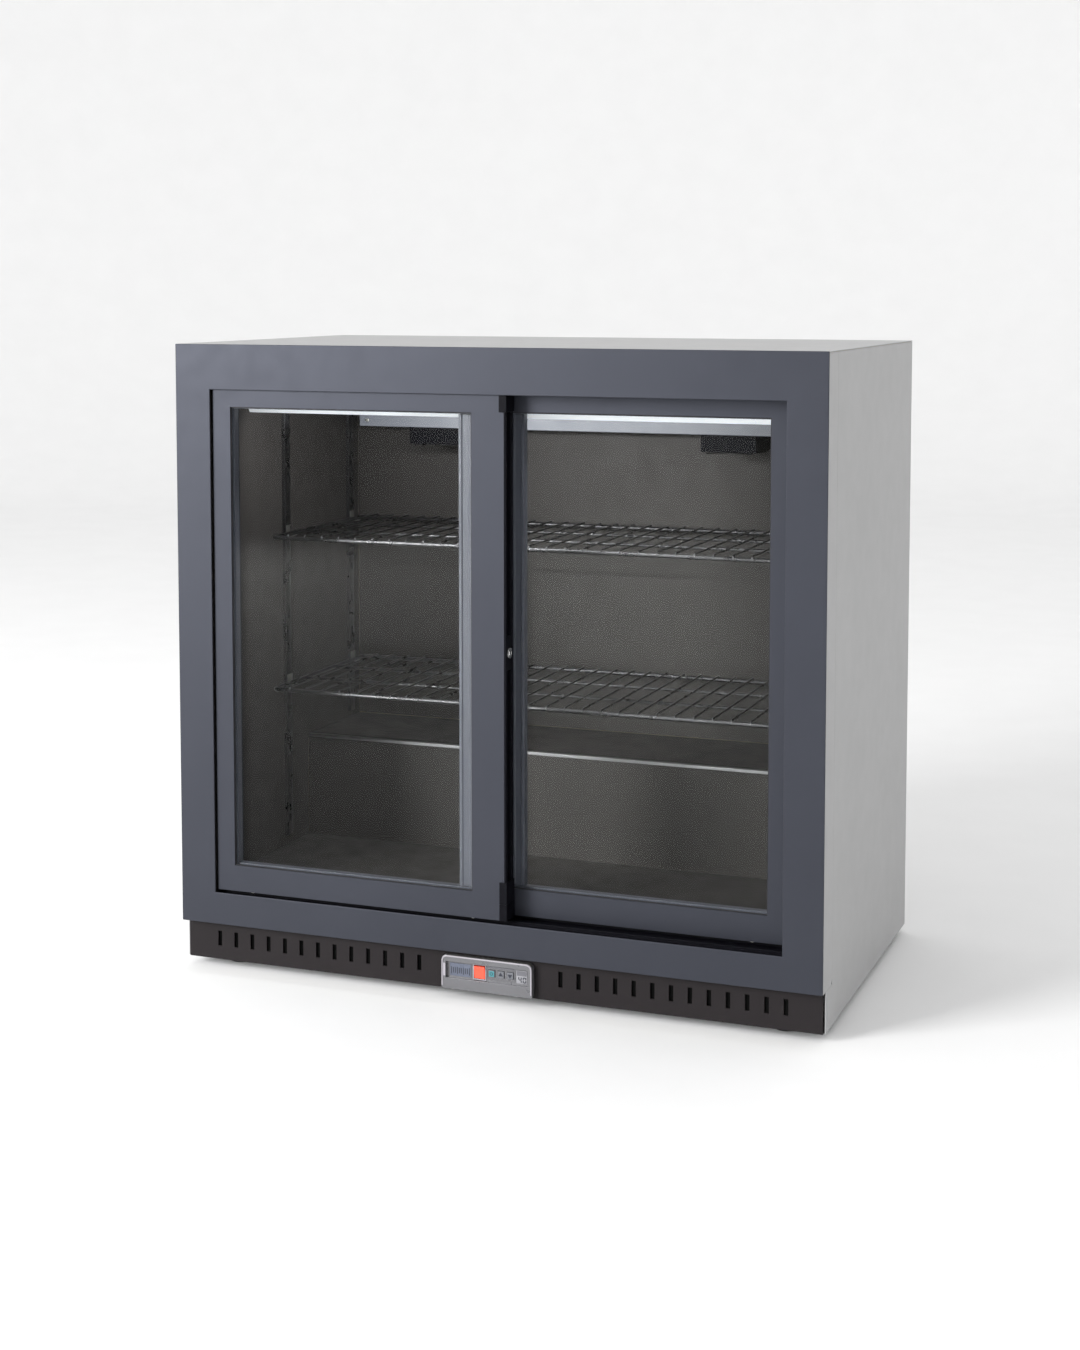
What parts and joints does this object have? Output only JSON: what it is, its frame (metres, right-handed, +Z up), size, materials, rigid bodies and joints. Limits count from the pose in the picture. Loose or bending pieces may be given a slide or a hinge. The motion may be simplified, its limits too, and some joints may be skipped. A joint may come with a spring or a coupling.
{
  "type": "sliding door back bar bottle cooler",
  "caption": "Undercounter back-bar bottle cooler with sliding double-glazed doors, wire shelves, ceiling evaporator and a rear machine compartment under a stepped floor.",
  "frame": {"origin": "centre of the footprint, on the floor under the feet", "axes": "+X to the right as seen from the front, +Y from the doors towards the back panel, +Z up"},
  "size_m": [0.9, 0.515, 0.86],
  "materials": {
    "frame_paint": "satin",
    "cabinet_paint": "satin",
    "plinth_paint": "satin",
    "liner_sheet": "matte",
    "foam": "matte",
    "black_plastic": "satin",
    "roller_nylon": "satin",
    "button_plastic": "satin",
    "silver_plastic": "satin",
    "orange_plastic": "gloss",
    "pane_glass": "gloss",
    "galvanised_steel": "satin",
    "bright_wire": "satin",
    "lock_chrome": "polished",
    "fin_aluminium": "satin",
    "black_steel": "satin",
    "lamp_lens": "satin",
    "foot_rubber": "matte",
    "copper_tube": "satin"
  },
  "bodies": {
    "cabinet": {"front_frame": "frame_paint", "frame_side_cover_left": "cabinet_paint", "side_panel_left": "cabinet_paint", "liner_side_left": "liner_sheet", "shelf_upright_front_left": "bright_wire", "shelf_upright_rear_left": "bright_wire", "frame_side_cover_right": "cabinet_paint", "side_panel_right": "cabinet_paint", "liner_side_right": "liner_sheet", "shelf_upright_front_right": "bright_wire", "shelf_upright_rear_right": "bright_wire", "top_panel": "cabinet_paint", "back_panel": "cabinet_paint", "rear_grille": "galvanised_steel", "base_pan": "galvanised_steel", "plinth_grille": "plinth_paint", "machine_bulkhead": "galvanised_steel", "liner_ceiling_and_back": "liner_sheet", "liner_floor": "liner_sheet", "insulation_foam": "foam", "bottom_track": "black_plastic", "top_track": "black_plastic", "foot_front_left": "foot_rubber", "foot_front_right": "foot_rubber", "foot_rear_left": "foot_rubber", "foot_rear_right": "foot_rubber", "shelf_lower": "bright_wire", "shelf_upper": "bright_wire", "lamp_housing": "silver_plastic", "lamp_lens": "lamp_lens", "evaporator_cover": "liner_sheet", "evaporator_coil": "fin_aluminium", "evaporator_fan_frame_left": "black_plastic", "evaporator_fan_frame_right": "black_plastic", "compressor": "black_steel", "compressor_terminal_cover": "black_plastic", "condenser_coil": "black_steel", "condenser_fan_housing": "galvanised_steel", "power_inlet": "black_plastic", "controller_bezel": "silver_plastic"},
    "left_door": {"left_door_frame": "frame_paint", "left_door_edge_grip": "black_plastic", "left_door_outer_pane": "pane_glass", "left_door_inner_pane": "pane_glass"},
    "right_door": {"right_door_frame": "frame_paint", "right_door_edge_grip": "black_plastic", "right_door_outer_pane": "pane_glass", "right_door_inner_pane": "pane_glass"},
    "left_door_roller_jamb": {"left_door_roller_jamb": "roller_nylon"},
    "left_door_roller_lap": {"left_door_roller_lap": "roller_nylon"},
    "right_door_roller_jamb": {"right_door_roller_jamb": "roller_nylon"},
    "right_door_roller_lap": {"right_door_roller_lap": "roller_nylon"},
    "door_lock": {"door_lock": "lock_chrome"},
    "evaporator_fan_left": {"evaporator_fan_rotor_left": "black_plastic"},
    "evaporator_fan_right": {"evaporator_fan_rotor_right": "black_plastic"},
    "condenser_fan": {"condenser_fan_rotor": "fin_aluminium"},
    "power_rocker": {"power_rocker": "orange_plastic"},
    "button_set": {"button_set": "button_plastic"},
    "button_up": {"button_up": "button_plastic"},
    "button_down": {"button_down": "button_plastic"}
  },
  "joints": [
    {"name": "left_door_slide", "type": "slide", "parent": "cabinet", "child": "left_door", "axis": [1, 0, 0], "range_m": [0, 0.37]},
    {"name": "right_door_slide", "type": "slide", "parent": "cabinet", "child": "right_door", "axis": [1, 0, 0], "range_m": [-0.37, 0]},
    {"name": "left_door_roller_jamb_spin", "type": "hinge", "parent": "left_door", "child": "left_door_roller_jamb", "pos_m": [-0.348, -0.2395, 0.1198], "axis": [0, 1, 0], "range_deg": [0, 2500]},
    {"name": "left_door_roller_lap_spin", "type": "hinge", "parent": "left_door", "child": "left_door_roller_lap", "pos_m": [-0.022, -0.2395, 0.1198], "axis": [0, 1, 0], "range_deg": [0, 2500]},
    {"name": "right_door_roller_jamb_spin", "type": "hinge", "parent": "right_door", "child": "right_door_roller_jamb", "pos_m": [0.348, -0.2095, 0.1198], "axis": [0, 1, 0], "range_deg": [-2500, 0]},
    {"name": "right_door_roller_lap_spin", "type": "hinge", "parent": "right_door", "child": "right_door_roller_lap", "pos_m": [0.022, -0.2095, 0.1198], "axis": [0, 1, 0], "range_deg": [-2500, 0]},
    {"name": "door_lock_turn", "type": "hinge", "parent": "left_door", "child": "door_lock", "pos_m": [0.02, -0.2395, 0.46425], "axis": [1, 0, 0], "range_deg": [0, 90]},
    {"name": "evaporator_fan_left_spin", "type": "hinge", "parent": "cabinet", "child": "evaporator_fan_left", "pos_m": [-0.224, 0.1395, 0.7177], "axis": [0, 0, 1], "continuous": true},
    {"name": "evaporator_fan_right_spin", "type": "hinge", "parent": "cabinet", "child": "evaporator_fan_right", "pos_m": [0.224, 0.1395, 0.7177], "axis": [0, 0, 1], "continuous": true},
    {"name": "condenser_fan_spin", "type": "hinge", "parent": "cabinet", "child": "condenser_fan", "pos_m": [-0.314, 0.166, 0.1196], "axis": [1, 0, 0], "continuous": true},
    {"name": "power_rocker_tilt", "type": "hinge", "parent": "cabinet", "child": "power_rocker", "pos_m": [-0.011, -0.2464, 0.03984], "axis": [1, 0, 0], "range_deg": [-16, 0]},
    {"name": "button_set_press", "type": "slide", "parent": "cabinet", "child": "button_set", "axis": [0, 1, 0], "range_m": [0, 0.0012], "stiffness_N_per_m": 300},
    {"name": "button_up_press", "type": "slide", "parent": "cabinet", "child": "button_up", "axis": [0, 1, 0], "range_m": [0, 0.0012], "stiffness_N_per_m": 300},
    {"name": "button_down_press", "type": "slide", "parent": "cabinet", "child": "button_down", "axis": [0, 1, 0], "range_m": [0, 0.0012], "stiffness_N_per_m": 300}
  ],
  "couplings": [
    {"joint": "left_door_roller_jamb_spin", "follows": "left_door_slide", "rad_per_m": 117.65},
    {"joint": "left_door_roller_lap_spin", "follows": "left_door_slide", "rad_per_m": 117.65},
    {"joint": "right_door_roller_jamb_spin", "follows": "right_door_slide", "rad_per_m": 117.65},
    {"joint": "right_door_roller_lap_spin", "follows": "right_door_slide", "rad_per_m": 117.65}
  ]
}
